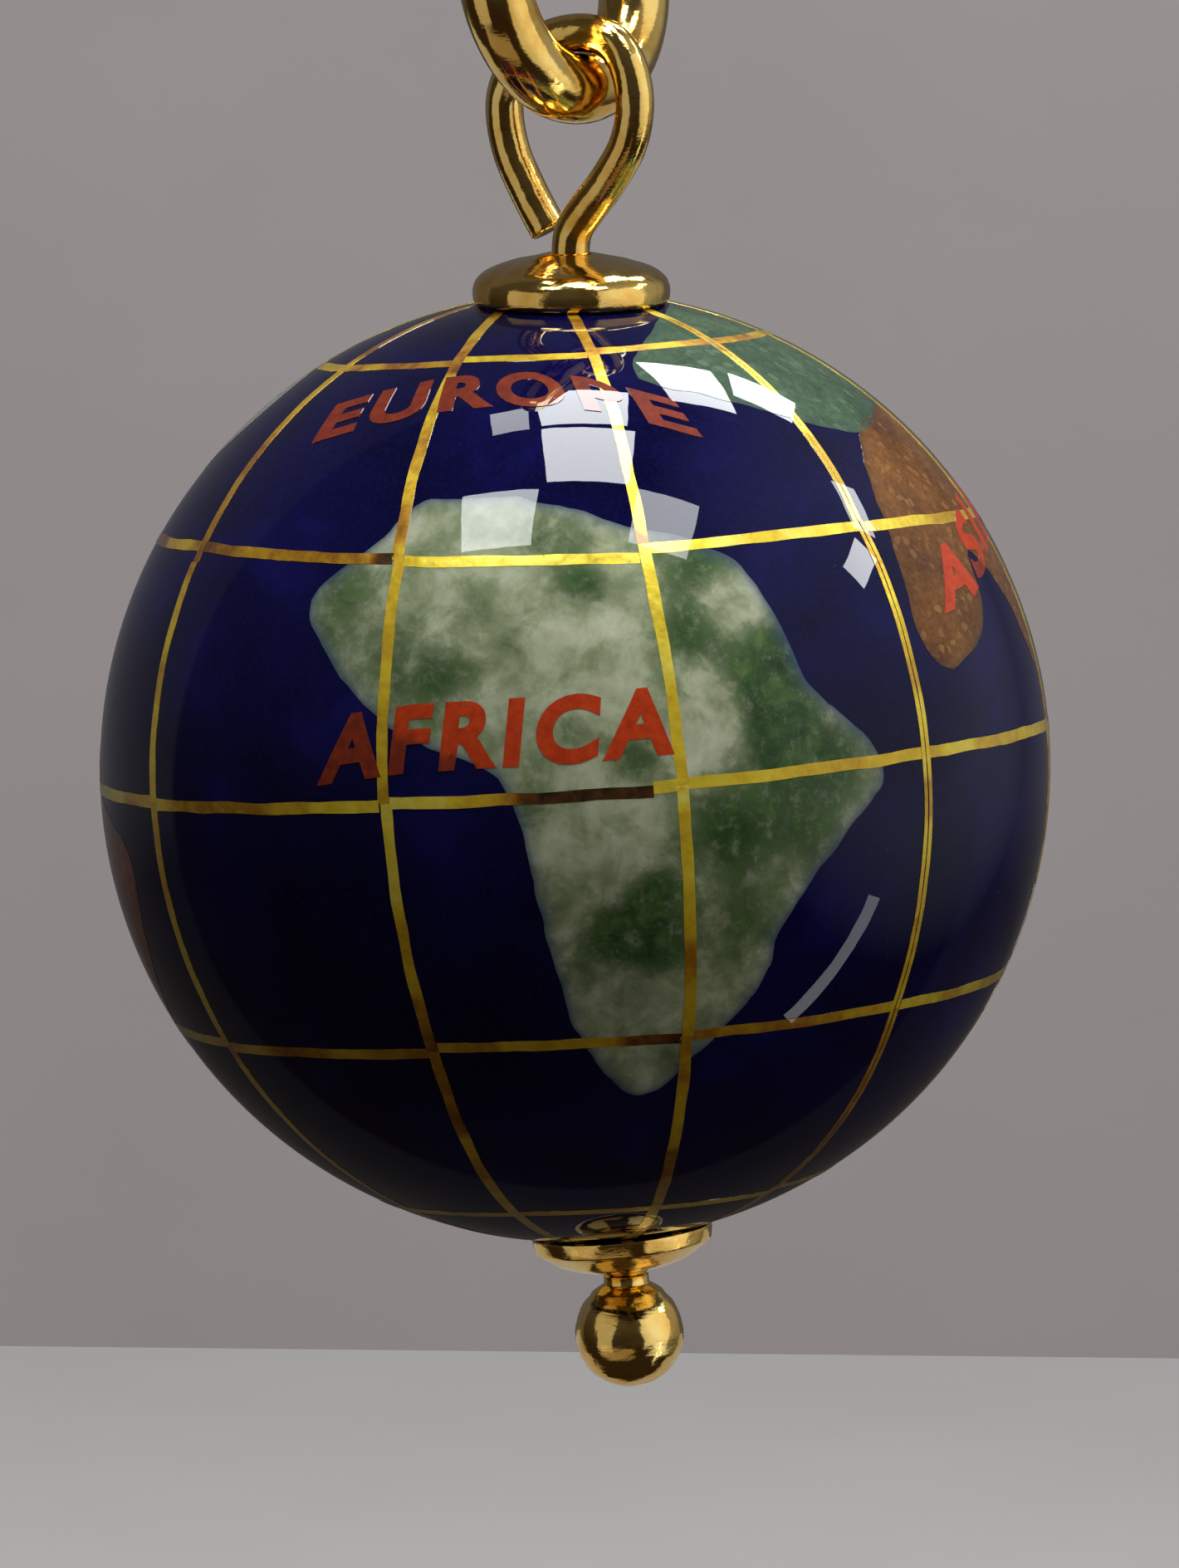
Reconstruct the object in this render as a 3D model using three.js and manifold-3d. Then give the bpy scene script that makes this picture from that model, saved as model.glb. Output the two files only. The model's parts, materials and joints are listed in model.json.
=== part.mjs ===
// A globe charm: a ball of inlaid stone plates and metal strips, threaded on a ball-ended eye pin
// between two bead caps, and hung by the pin's eye from an oval chain link.
// Millimetres, +Z up. The origin is where the chain above holds the link: the underside of its upper bow.
// The link lies in the YZ plane and the eye lies in the XZ plane.
import * as THREE from "three";
import { mergeVertices } from "three/addons/utils/BufferGeometryUtils.js";
import Module from "manifold-3d";

const wasm = await Module();
wasm.setup();

// Chain link
const linkWireDiameter = 1.85;
const linkInnerWidth = 4.35;
const linkInnerLength = 8.6;
const linkLean = 12; // the chain draws the link this far off plumb, in degrees

// Head pin: ball end, straight shank and bent eye, all of one wire
const pinWireDiameter = 1.0;
const ballEndDiameter = 2.92;
const ballEndDrop = 15.1; // from the middle of the globe down to the middle of the ball end
const neckDiameter = 1.24;
const bearingHeight = 17.85; // from the middle of the globe up to the link's lower bow
const crownOffset = 0.66; // how far the eye's crown stands to one side of the shank

// Globe
const globeRadius = 12.5;
const inlayDepth = 1.7;
const boreDiameter = 1.6;
const boreOffset = 0.75; // the bore misses the middle of the ball by this much
const globeHeading = 30; // how far the ball is turned on the pin, in degrees
const graticuleLean = 2.8; // between the bore and the map's own poles, in degrees
const graticuleLeanHeading = 145; // the compass direction of that lean, in degrees from +X
const sphereSides = 30;
const fitGap = 0.02; // left between neighbouring inlaid pieces, filled by the polish

// Map lines
const stripWidth = 0.3;
const stripDepth = 0.6;
const meridians = [-162.5, -126.5, -90.5, -54.5, -18, 17.5, 51.5, 88, 125, 161.5]; // laid by hand
const meridianEnd = 84; // degrees of latitude, under the bead caps
const meridianSteps = 14;
const parallels = {
  parallel_north_62: 62,
  parallel_north_30: 30.5,
  parallel_equator: 2,
  parallel_south_30: -29,
  parallel_south_60: -60.5,
};

// Bead caps
const capHoleRadius = 0.57; // over the shank, but not over the neck above the ball end
const capHoleHeight = 13.3; // from the middle of the globe to the hole in either cap

const degree = Math.PI / 180;
const facetTurn = 6 * degree; // puts the ball's corners near the meridians
const wireSides = 10;

// Coastlines as [latitude, longitude] in degrees on the map, anticlockwise as seen from outside
const landBorder = [[43, 66], [46, 82], [47, 96], [49, 110]]; // between the europe and asia inlays
const coastlines = {
  africa_inlay: [
    [38, -16], [34, -19.5], [29.5, -26], [25.5, -29], [20.5, -26], [13, -19], [8.5, -12], [5, -4],
    [-1.5, -1], [-12, 0.5], [-26.5, 3.5], [-36, 9], [-36.5, 14], [-31, 20.5], [-23, 27.5], [-14, 31],
    [-5, 39], [0, 44], [5.5, 42], [12, 35.5], [25, 31], [30.5, 25], [33.5, 15], [38, 3], [39, -8],
  ],
  europe_inlay: [
    [67, 40], [58.5, 25.5], [54.5, 29], [50, 43], [46, 53], ...landBorder, [51, 124], [47, 132],
    [53, 140], [60, 146], [62, 160], [68, 158], [72, 130], [75, 100], [73, 70],
  ],
  asia_inlay: [
    [34, 57.5], [21, 54.5], [15, 54.5], [11.5, 59], [14.5, 67], [19, 71], [25, 73.5], [19, 80],
    [10, 85], [13, 90], [21, 92], [23, 100], [30, 106], [37, 104], [40, 112],
    ...landBorder.toReversed(),
  ],
  australia_inlay: [
    [-17, 103], [-22, 94], [-33, 98], [-31, 112], [-38, 121], [-37, 131], [-27, 134], [-19, 127],
    [-11, 123], [-17, 119], [-12, 114],
  ],
  north_america_inlay: [
    [70, -176], [59, -174], [60, -160], [54, -149], [47, -143], [38, -142], [30, -134], [22, -127],
    [16, -115], [9, -101], [15, -105], [21, -108], [23, -114], [29, -113], [30, -103], [25, -98],
    [33, -97], [41, -90], [46, -80], [53, -76], [60, -84], [57, -102], [64, -108], [69, -118], [72, -145],
  ],
  south_america_inlay: [
    [9, -100], [0, -108], [-8, -107], [-18, -99], [-36, -101], [-52, -100], [-51, -95], [-40, -89],
    [-31, -79], [-23, -70], [-13, -65], [-5, -64], [1, -76], [6, -82], [11, -92],
  ],
};

const gold = { color: 0xd9a43a, roughness: 0.12, metalness: 1 };
const finishes = {
  chain_link: gold,
  head_pin: gold,
  top_cap: gold,
  bottom_cap: gold,
  strip: { color: 0xc79a2e, roughness: 0.3, metalness: 1 },
  globe_core: { color: 0x8c8a80, roughness: 0.8, metalness: 0 },
  ocean_shell: { color: 0x141452, roughness: 0.08, metalness: 0 },
  africa_inlay: { color: 0x9fab90, roughness: 0.1, metalness: 0 },
  europe_inlay: { color: 0x4f8068, roughness: 0.1, metalness: 0 },
  asia_inlay: { color: 0x9a6236, roughness: 0.1, metalness: 0 },
  australia_inlay: { color: 0xb9a27a, roughness: 0.1, metalness: 0 },
  north_america_inlay: { color: 0xc4bba6, roughness: 0.1, metalness: 0 },
  south_america_inlay: { color: 0x8c3a28, roughness: 0.1, metalness: 0 },
};

// A closed three.js geometry as a manifold-3d solid.
function solidFrom(geometry) {
  const bare = geometry.index ? geometry.toNonIndexed() : geometry.clone();
  bare.deleteAttribute("normal");
  bare.deleteAttribute("uv");
  const merged = mergeVertices(bare, 1e-4);
  const mesh = new wasm.Mesh({
    numProp: 3,
    vertProperties: merged.attributes.position.array,
    triVerts: new Uint32Array(merged.index.array),
  });
  return new wasm.Manifold(mesh);
}

// A manifold-3d solid as a three.js geometry.
function geometryFrom(solid) {
  const mesh = solid.getMesh();
  const geometry = new THREE.BufferGeometry();
  geometry.setAttribute("position", new THREE.BufferAttribute(mesh.vertProperties, mesh.numProp));
  geometry.setIndex(new THREE.BufferAttribute(mesh.triVerts, 1));
  geometry.computeVertexNormals();
  return geometry;
}

function namedMesh(name, geometry, finish = finishes[name]) {
  const mesh = new THREE.Mesh(geometry, new THREE.MeshStandardMaterial(finish));
  mesh.name = name;
  return mesh;
}

// three.js splits an arc into twice the steps that it is given, so this gives it half.
function arcSteps(count) {
  return count / 2;
}

// A profile of [radius, height] points, anticlockwise, turned round +Z. It runs from axis to axis,
// or else it closes on itself.
function turned(profile, sides) {
  const onAxis = profile[0][0] === 0;
  const corners = onAxis ? profile : [...profile, profile[0]];
  const points = corners.map(([r, z]) => new THREE.Vector2(r, z));
  return new THREE.LatheGeometry(points, sides).rotateX(90 * degree);
}

function chainLink() {
  const bowRadius = (linkInnerWidth + linkWireDiameter) / 2;
  const innerBow = linkInnerWidth / 2;
  const lowerCentre = innerBow - linkInnerLength;
  const outline = new THREE.Path();
  outline.absarc(0, -innerBow, bowRadius, 0, Math.PI, false);
  outline.absarc(0, lowerCentre, bowRadius, Math.PI, 2 * Math.PI, false);
  const points = outline.getPoints(arcSteps(24)).map((p) => new THREE.Vector3(0, p.x, p.y));
  const route = new THREE.CatmullRomCurve3(points, true, "centripetal");
  const steps = 44;
  return new THREE.TubeGeometry(route, steps, linkWireDiameter / 2, wireSides, true);
}

// The wire of the eye, in the pin's own frame: X to one side, Z along the shank from the globe's middle.
// It leaves the shank, rises to the crown and comes back down to a cut end that stands a little behind.
function eyeRoute() {
  const crownHeight = bearingHeight + (linkWireDiameter + pinWireDiameter) / 2 + fitGap;
  const points = [
    [0, 0, 12.8],
    [0, 0, 13.5],
    [0.14, 0, 14.15],
    [0.6, 0, 14.7],
    [1.28, 0, 15.4],
    [1.97, 0, 16.3],
    [2.28, 0, 17.2],
    [2.27, 0, 18.0],
    [2.03, 0, 18.65],
    [1.55, 0, 19.12],
    [crownOffset, 0, crownHeight],
    [-0.45, 0, 19.08],
    [-1.35, 0, 18.45],
    [-1.82, 0.05, 17.75],
    [-1.93, 0.1, 17.0],
    [-1.82, 0.2, 16.1],
    [-1.5, 0.3, 15.25],
    [-1.22, 0.4, 14.6],
    [-0.96, 0.45, 14.1],
  ];
  return new THREE.CatmullRomCurve3(points.map(([x, y, z]) => new THREE.Vector3(x, y, z)));
}

function headPin() {
  const section = new THREE.Shape();
  section.absarc(0, 0, pinWireDiameter / 2, 0, 2 * Math.PI, false);
  const eye = new THREE.ExtrudeGeometry(section, {
    extrudePath: eyeRoute(),
    steps: 36,
    curveSegments: arcSteps(wireSides),
    bevelEnabled: false,
  });
  const wire = pinWireDiameter / 2;
  const shankTop = 13.3;
  const neckTop = 1.58 - ballEndDrop;
  const shank = turned(
    [[0, -ballEndDrop], [wire, -ballEndDrop], [wire, shankTop], [0, shankTop]],
    wireSides,
  );
  const neck = turned(
    [
      [0, -ballEndDrop],
      [neckDiameter / 2, -ballEndDrop],
      [neckDiameter / 2, neckTop],
      [0, neckTop],
    ],
    wireSides,
  );
  const ball = new THREE.SphereGeometry(ballEndDiameter / 2, 16, 12).rotateX(90 * degree);
  ball.translate(0, 0, -ballEndDrop);
  return geometryFrom(
    solidFrom(shank).add(solidFrom(neck)).add(solidFrom(ball)).add(solidFrom(eye)),
  );
}

// Height of the globe's surface, above its middle, at a distance from a line through the middle.
function globeHeight(distance) {
  return Math.sqrt(globeRadius ** 2 - distance ** 2);
}

function topCap() {
  const rim = 2.575;
  const seat = globeHeight(rim) + 2 * fitGap;
  const profile = [
    [rim - 0.12, seat],
    [rim, seat + 0.12],
    [rim, seat + 0.38],
    [rim - 0.14, seat + 0.6],
    [2.05, seat + 0.88],
    [1.35, seat + 1.17],
    [capHoleRadius, seat + 1.3],
    [capHoleRadius, seat + 0.98],
    [1.4, seat + 0.8],
    [rim - 0.38, seat + 0.26],
  ];
  return turned(profile, 28);
}

function bottomCap() {
  const rim = 2.4;
  const seat = globeHeight(rim) + 2 * fitGap;
  const profile = [
    [rim - 0.22, -seat - 0.1],
    [1.5, -seat - 0.55],
    [capHoleRadius, -seat - 0.8],
    [capHoleRadius, -seat - 1.14],
    [1.1, -seat - 1.07],
    [1.75, -seat - 0.88],
    [rim - 0.15, -seat - 0.56],
    [rim, -seat - 0.4],
    [rim, -seat - 0.06],
    [rim - 0.1, -seat],
  ];
  return turned(profile, 28);
}

// The direction of a place on the map, from the middle of the globe. Longitude 0 faces -Y.
function direction(latitude, longitude) {
  const flat = Math.cos(latitude * degree);
  return new THREE.Vector3(
    flat * Math.sin(longitude * degree),
    -flat * Math.cos(longitude * degree),
    Math.sin(latitude * degree),
  );
}

// A faceted sphere whose corners lie on the map lines' own corners, so that both facet alike.
function sphere(radius) {
  const profile = [[0, -radius]];
  for (let step = 0; step <= meridianSteps; step++) {
    const latitude = meridianEnd * (2 * step / meridianSteps - 1) * degree;
    profile.push([radius * Math.cos(latitude), radius * Math.sin(latitude)]);
  }
  profile.push([0, radius]);
  return solidFrom(turned(profile, sphereSides).rotateZ(facetTurn));
}

// A solid cone frustum from the globe's middle through a coastline, drawn in or out by `shift`.
function landCutter(coast, shift) {
  const rays = coast.map(([latitude, longitude]) => direction(latitude, longitude));
  const middle = rays.reduce((sum, ray) => sum.add(ray), new THREE.Vector3()).normalize();
  const moved = rays.map((ray, i) => {
    const along = rays[(i + 1) % rays.length].clone().sub(rays.at(i - 1));
    const outwards = along.cross(ray).normalize();
    return ray.clone().addScaledVector(outwards, shift / globeRadius).normalize();
  });
  const east = new THREE.Vector3(0, 0, 1).cross(middle).normalize();
  const north = middle.clone().cross(east);
  const flat = moved.map((ray) => {
    const reach = ray.dot(middle);
    return new THREE.Vector2(ray.dot(east) / reach, ray.dot(north) / reach);
  });
  const inner = globeRadius - inlayDepth - 1;
  const outer = 2.5 * globeRadius; // so that its flat end stays outside the ball
  const count = moved.length;
  const corners = [inner, outer].flatMap((r) => moved.map((ray) => ray.clone().multiplyScalar(r)));
  const faces = [];
  for (const [a, b, c] of THREE.ShapeUtils.triangulateShape(flat, [])) {
    faces.push(c, b, a);
    faces.push(a + count, b + count, c + count);
  }
  for (let i = 0; i < count; i++) {
    const j = (i + 1) % count;
    faces.push(i, j, j + count);
    faces.push(i, j + count, i + count);
  }
  const geometry = new THREE.BufferGeometry().setFromPoints(corners);
  geometry.setIndex(faces);
  return solidFrom(geometry);
}

// A strip along a meridian between two depths below the surface, wider than stripWidth by `slack`.
function meridianBar(longitude, top, bottom, slack) {
  const end = (meridianEnd + slack) * degree;
  const shape = new THREE.Shape();
  shape.absarc(0, 0, globeRadius - top, -end, end, false);
  shape.absarc(0, 0, globeRadius - bottom, end, -end, true);
  const width = stripWidth + 2 * slack;
  const bar = new THREE.ExtrudeGeometry(shape, {
    depth: width,
    curveSegments: arcSteps(meridianSteps),
    bevelEnabled: false,
  });
  bar.translate(0, 0, -width / 2).rotateX(90 * degree).rotateZ((longitude - 90) * degree);
  return solidFrom(bar);
}

// A ring along a parallel between two depths below the surface, wider than stripWidth by `slack`.
function parallelRing(latitude, top, bottom, slack) {
  const half = (stripWidth / 2 + slack) / globeRadius;
  const corner = (depth, side) => {
    const angle = latitude * degree + side * half;
    const reach = globeRadius - depth;
    return [reach * Math.cos(angle), reach * Math.sin(angle)];
  };
  const profile = [corner(bottom, -1), corner(top, -1), corner(top, 1), corner(bottom, 1)];
  return solidFrom(turned(profile, sphereSides).rotateZ(facetTurn));
}

function union(solids) {
  return solids.reduce((joined, solid) => joined.add(solid));
}

// The ball: a core, an ocean casting over it, the land plates let into that, and the map lines let
// into both. Where map lines cross, the meridian runs on at the surface and the parallel under it.
function globePieces() {
  const latitudes = Object.values(parallels);
  const proud = 0.5;
  const halfDepth = stripDepth / 2;

  const bore = new THREE.CylinderGeometry(boreDiameter / 2, boreDiameter / 2, 3 * globeRadius, 16);
  bore.rotateX(90 * degree).translate(boreOffset, 0, 0);
  bore.applyQuaternion(globeTurn().invert());
  const boreSolid = solidFrom(bore);

  const shell = sphere(globeRadius)
    .subtract(sphere(globeRadius - inlayDepth))
    .subtract(boreSolid);
  const core = sphere(globeRadius - inlayDepth - fitGap).subtract(boreSolid);

  const grooveDepth = stripDepth + fitGap;
  const grooves = union([
    ...meridians.map((longitude) => meridianBar(longitude, -proud, grooveDepth, fitGap)),
    ...latitudes.map((latitude) => parallelRing(latitude, -proud, grooveDepth, fitGap)),
  ]);
  const overpasses = union(
    meridians.map((longitude) => meridianBar(longitude, -proud, halfDepth + fitGap, fitGap)),
  );
  const underpasses = union(
    latitudes.map((latitude) => parallelRing(latitude, halfDepth, stripDepth + proud, fitGap)),
  );

  const pieces = [namedMesh("globe_core", geometryFrom(core))];
  const pockets = union(Object.values(coastlines).map((coast) => landCutter(coast, fitGap / 2)));
  const ocean = shell.subtract(pockets).subtract(grooves);
  pieces.push(namedMesh("ocean_shell", geometryFrom(ocean)));
  for (const [name, coast] of Object.entries(coastlines)) {
    const plate = shell.intersect(landCutter(coast, -fitGap / 2)).subtract(grooves);
    pieces.push(namedMesh(name, geometryFrom(plate)));
  }
  meridians.forEach((longitude, i) => {
    const strip = meridianBar(longitude, 0, stripDepth, 0)
      .subtract(underpasses)
      .subtract(boreSolid);
    const name = "meridian_strip_" + String(i + 1).padStart(2, "0");
    pieces.push(namedMesh(name, geometryFrom(strip), finishes.strip));
  });
  for (const [name, latitude] of Object.entries(parallels)) {
    const ring = parallelRing(latitude, 0, stripDepth, 0).subtract(overpasses);
    pieces.push(namedMesh(name, geometryFrom(ring), finishes.strip));
  }
  return pieces;
}

// How the map is turned on the pin: first to its heading, then its poles lean off the bore.
function globeTurn() {
  const heading = graticuleLeanHeading * degree;
  const leanAxis = new THREE.Vector3(-Math.sin(heading), Math.cos(heading), 0);
  const lean = new THREE.Quaternion().setFromAxisAngle(leanAxis, graticuleLean * degree);
  const up = new THREE.Vector3(0, 0, 1);
  const turn = new THREE.Quaternion().setFromAxisAngle(up, globeHeading * degree);
  return lean.multiply(turn);
}

const charm = new THREE.Group();
const link = namedMesh("chain_link", chainLink());
link.rotation.y = -linkLean * degree;
charm.add(link);

// The pendant hangs from the middle of the link's lower bow, with the globe's middle straight below.
const pendant = new THREE.Group();
const hangAngle = Math.atan2(crownOffset + boreOffset, bearingHeight);
pendant.position.set(0, 0, -linkInnerLength - linkWireDiameter / 2);
pendant.position.applyEuler(link.rotation);
pendant.rotation.y = -hangAngle;
charm.add(pendant);

const pinFrame = new THREE.Group();
pinFrame.position.set(-crownOffset, 0, -bearingHeight);
pinFrame.add(namedMesh("head_pin", headPin()));
pendant.add(pinFrame);

// The caps sit square on the ball, so their axes run through its middle.
const ballFrame = new THREE.Group();
ballFrame.position.x = -boreOffset;
pinFrame.add(ballFrame);
const capLean = Math.atan2(boreOffset, capHoleHeight);
const top = namedMesh("top_cap", topCap());
top.rotation.y = capLean;
const bottom = namedMesh("bottom_cap", bottomCap());
bottom.rotation.y = -capLean;
ballFrame.add(top, bottom);

const globe = new THREE.Group();
globe.quaternion.copy(globeTurn());
globe.add(...globePieces());
ballFrame.add(globe);

export default charm;
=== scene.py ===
"""Looks for the globe charm: a ball of inlaid stone plates and metal strips, hung by an eye pin.

Lengths in this file are millimetres and become metres as a mesh is made. A place on the map is
[latitude, longitude] in degrees, with longitude 0 on the -Y side of the map's own frame.
"""

import json
import math
import random

import bmesh
import bpy
import numpy as np
from mathutils import Matrix, Quaternion, Vector, noise
from mathutils.geometry import delaunay_2d_cdt

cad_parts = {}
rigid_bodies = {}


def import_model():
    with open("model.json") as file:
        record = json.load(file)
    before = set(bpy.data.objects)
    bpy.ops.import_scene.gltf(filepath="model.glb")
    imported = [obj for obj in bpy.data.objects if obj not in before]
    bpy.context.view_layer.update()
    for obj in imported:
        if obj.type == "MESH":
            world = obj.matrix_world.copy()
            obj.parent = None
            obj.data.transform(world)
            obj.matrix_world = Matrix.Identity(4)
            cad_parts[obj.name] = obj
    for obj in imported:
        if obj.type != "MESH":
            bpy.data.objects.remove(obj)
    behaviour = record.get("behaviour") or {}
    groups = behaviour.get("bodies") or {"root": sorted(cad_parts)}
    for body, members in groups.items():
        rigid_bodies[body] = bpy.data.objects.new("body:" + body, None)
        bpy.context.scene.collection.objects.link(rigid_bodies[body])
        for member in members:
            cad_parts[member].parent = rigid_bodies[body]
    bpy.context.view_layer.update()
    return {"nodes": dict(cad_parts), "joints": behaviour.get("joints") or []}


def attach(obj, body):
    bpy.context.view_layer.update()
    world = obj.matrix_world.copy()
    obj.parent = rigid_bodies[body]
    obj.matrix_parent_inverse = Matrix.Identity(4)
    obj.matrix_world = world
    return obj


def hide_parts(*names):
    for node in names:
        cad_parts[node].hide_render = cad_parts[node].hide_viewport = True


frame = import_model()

noise.seed_set(5)  # noise_vector would otherwise start from the clock

scene_objects = bpy.context.scene.collection.objects

MM = 0.001

# Driving dimensions, as in the CAD
GLOBE_RADIUS = 12.5
INLAY_DEPTH = 1.7
BORE_RADIUS = 0.8
BORE_OFFSET = 0.75
CAP_HOLE_HEIGHT = 13.3
CAP_HOLE_RADIUS = 0.57
GLOBE_HEADING = 30
MAP_LEAN = 2.8
MAP_LEAN_HEADING = 145
LINK_WIRE_RADIUS = 0.925
LINK_INNER_WIDTH = 4.35
LINK_INNER_LENGTH = 8.6
LINK_LEAN = 12
PIN_WIRE_RADIUS = 0.5
NECK_RADIUS = 0.62
NECK_HEIGHT = 1.58  # from the ball end's middle
EYE_FOOT = 12.8
BALL_END_RADIUS = 1.46
BALL_END_DROP = 15.1
BEARING_HEIGHT = 17.85
CROWN_OFFSET = 0.66
FIT_GAP = 0.02

# Heights above the ball's middle of what shows through the clear coat
OCEAN_TOP = GLOBE_RADIUS - 0.012
PLATE_TOP = GLOBE_RADIUS - 0.006
STRIP_TOP = GLOBE_RADIUS
LABEL_TOP = GLOBE_RADIUS + 0.004

# How far down the thin pieces reach
PLATE_THICKNESS = 0.6
FOIL_THICKNESS = 0.12
LABEL_THICKNESS = 0.05

COAST_STEP = 0.22
COAST_SWAY = 0.10
COAST_NICKS = 0.03
PLATE_PITCH = 0.34
LABEL_PITCH = 0.12  # in letter heights
STRIP_WIDTH = 0.3
STRIP_WIDTH_CHANGE = 0.14  # as a share of the width
STRIP_SWAY = 0.035
# How far a short length of foil's painted sheen moves at random
STRIP_PAINTED_SHEEN_CHANGE = 0.2
STRIP_STEP = 1.6  # degrees
MERIDIAN_WANDER = 0.25  # degrees
PARALLEL_WANDER = 0.5  # degrees
BORE_CLEARANCE = 1.05  # no strip comes nearer than this to the bore's axis
DOUBLED_MERIDIANS = (1, 6)  # two foils side by side with a dark seam
DOUBLED_WIDTH = 0.13
DOUBLED_OFFSET = 0.085
EQUATOR_SPLICE = 3.3  # degrees west of a meridian at which the equator's foil starts anew
MERIDIANS = [-162.5, -126.5, -90.5, -54.5, -17.5, 17.5, 51.5, 88, 125, 161.5]
CROSSINGS = [84, 62, 31, 2, -29, -61, -84]
# How far each hand-laid meridian wanders east of its longitude at the crossings, from the north
MERIDIAN_BENDS = {
    3: [-2, -2, -0.7, 0, 0.8, 1, 1],
    4: [0.6, 0.2, 0.9, 0.4, 1.3, 0.4, 0],
    5: [1, 0.1, -0.4, 0.4, 0.7, 0.4, 0.8],
    6: [2.5, 2.1, -0.2, -0.3, -0.7, 1.5, 1.5],
}
STRAIGHT = [0] * len(CROSSINGS)
PARALLELS = {
    "parallel_north_62": 62,
    "parallel_north_30": 30.5,
    "parallel_equator": 2,
    "parallel_south_30": -29,
    "parallel_south_60": -61.3,
}
# Latitudes of a parallel's two ends between one meridian and the next, counted from the west
PARALLEL_STEPS = {
    ("parallel_north_62", 3): (61.8, 62.2),
    ("parallel_north_62", 4): (63.0, 62.1),
    ("parallel_north_62", 5): (62.9, 62.7),
    ("parallel_north_30", 2): (33.2, 33.1),
    ("parallel_north_30", 3): (33.0, 31.1),
    ("parallel_north_30", 4): (30.8, 29.2),
    ("parallel_north_30", 5): (30.4, 30.4),
    ("parallel_north_30", 6): (30.2, 29.0),
    ("parallel_equator", 4): (2.0, 1.7),
    ("parallel_equator", 5): (2.1, 2.4),
    ("parallel_equator", 6): (2.4, 1.9),
    ("parallel_south_30", 4): (-28.4, -29.1),
    ("parallel_south_30", 5): (-28.9, -28.7),
    ("parallel_south_60", 4): (-61.3, -62.0),
    ("parallel_south_60", 5): (-62.1, -62.6),
}

# Brightness at the two ends of a foil between crossings, by meridian or parallel and by place in it
# Partly the foil's own gold, orange and brown; partly painted highlight where it mirrors the bright
# panes, and painted shade where it lies in shade
FOIL_TONES_AND_PAINTED_LIGHT = {
    (3, 0): (0.30, 0.34), (3, 1): (0.36, 0.38), (3, 2): (0.44, 0.50), (3, 3): (0.62, 0.50),
    (3, 4): (0.50, 0.45),
    (4, 0): (0.26, 0.34), (4, 1): (0.42, 0.32), (4, 3): (0.85, 0.22), (4, 4): (0.40, 0.55),
    (5, 0): (0.24, 0.36), (5, 1): (0.48, 0.42), (5, 2): (0.90, 0.80), (5, 3): (0.80, 0.28),
    (5, 4): (0.38, 0.36),
    (6, 3): (0.60, 0.50), (6, 4): (0.48, 0.42),
    ("parallel_north_62", 3): (0.32, 0.38), ("parallel_north_62", 4): (0.46, 0.42),
    ("parallel_north_62", 5): (0.42, 0.46), ("parallel_north_62", 6): (0.40, 0.40),
    ("parallel_north_30", 2): (0.36, 0.36), ("parallel_north_30", 3): (0.32, 0.10),
    ("parallel_north_30", 4): (0.80, 0.72), ("parallel_north_30", 5): (0.95, 0.62),
    ("parallel_equator", 3): (0.50, 0.56), ("parallel_equator", 4): (0.70, 0.50),
    ("parallel_equator", 5): (0.80, 0.66),
    ("parallel_south_30", 3): (0.45, 0.48), ("parallel_south_30", 4): (0.45, 0.20),
    ("parallel_south_30", 5): (0.28, 0.50),
}
PLAIN_TONE = (0.64, 0.60)

LAND_BORDER = [(43, 66), (46, 82), (47, 96), (49, 110)]
COASTLINES = {
    "africa": [
        (38, -16), (34, -19.5), (29.5, -26), (25.5, -29), (20.5, -26), (13, -19), (8.5, -12), (5, -4),
        (-1.5, -1), (-12, 0.5), (-26.5, 3.5), (-36, 9), (-36.5, 14), (-31, 20.5), (-23, 27.5),
        (-14, 31), (-5, 39), (0, 44), (5.5, 42), (12, 35.5), (25, 31), (30.5, 25), (33.5, 15),
        (38, 3), (39, -8),
    ],
    "europe": [
        (67, 40), (58.5, 25.5), (54.5, 29), (50, 43), (46, 53), *LAND_BORDER, (51, 124), (47, 132),
        (53, 140), (60, 146), (62, 160), (68, 158), (72, 130), (75, 100), (73, 70),
    ],
    "asia": [
        (34, 57.5), (21, 54.5), (15, 54.5), (11.5, 59), (14.5, 67), (19, 71), (25, 73.5), (19, 80),
        (10, 85), (13, 90), (21, 92), (23, 100), (30, 106), (37, 104), (40, 112), *LAND_BORDER[::-1],
    ],
    "australia": [
        (-17, 103), (-22, 94), (-33, 98), (-31, 112), (-38, 121), (-37, 131), (-27, 134), (-19, 127),
        (-11, 123), (-17, 119), (-12, 114),
    ],
    "north_america": [
        (70, -176), (59, -174), (60, -160), (54, -149), (47, -143), (38, -142), (30, -134),
        (22, -127), (16, -115), (9, -101), (15, -105), (21, -108), (23, -114), (29, -113),
        (30, -103), (25, -98), (33, -97), (41, -90), (46, -80), (53, -76), (60, -84), (57, -102),
        (64, -108), (69, -118), (72, -145),
    ],
    "south_america": [
        (9, -100), (0, -108), (-8, -107), (-18, -99), (-36, -101), (-52, -100), (-51, -95),
        (-40, -89), (-31, -79), (-23, -70), (-13, -65), (-5, -64), (1, -76), (6, -82), (11, -92),
    ],
}
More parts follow.
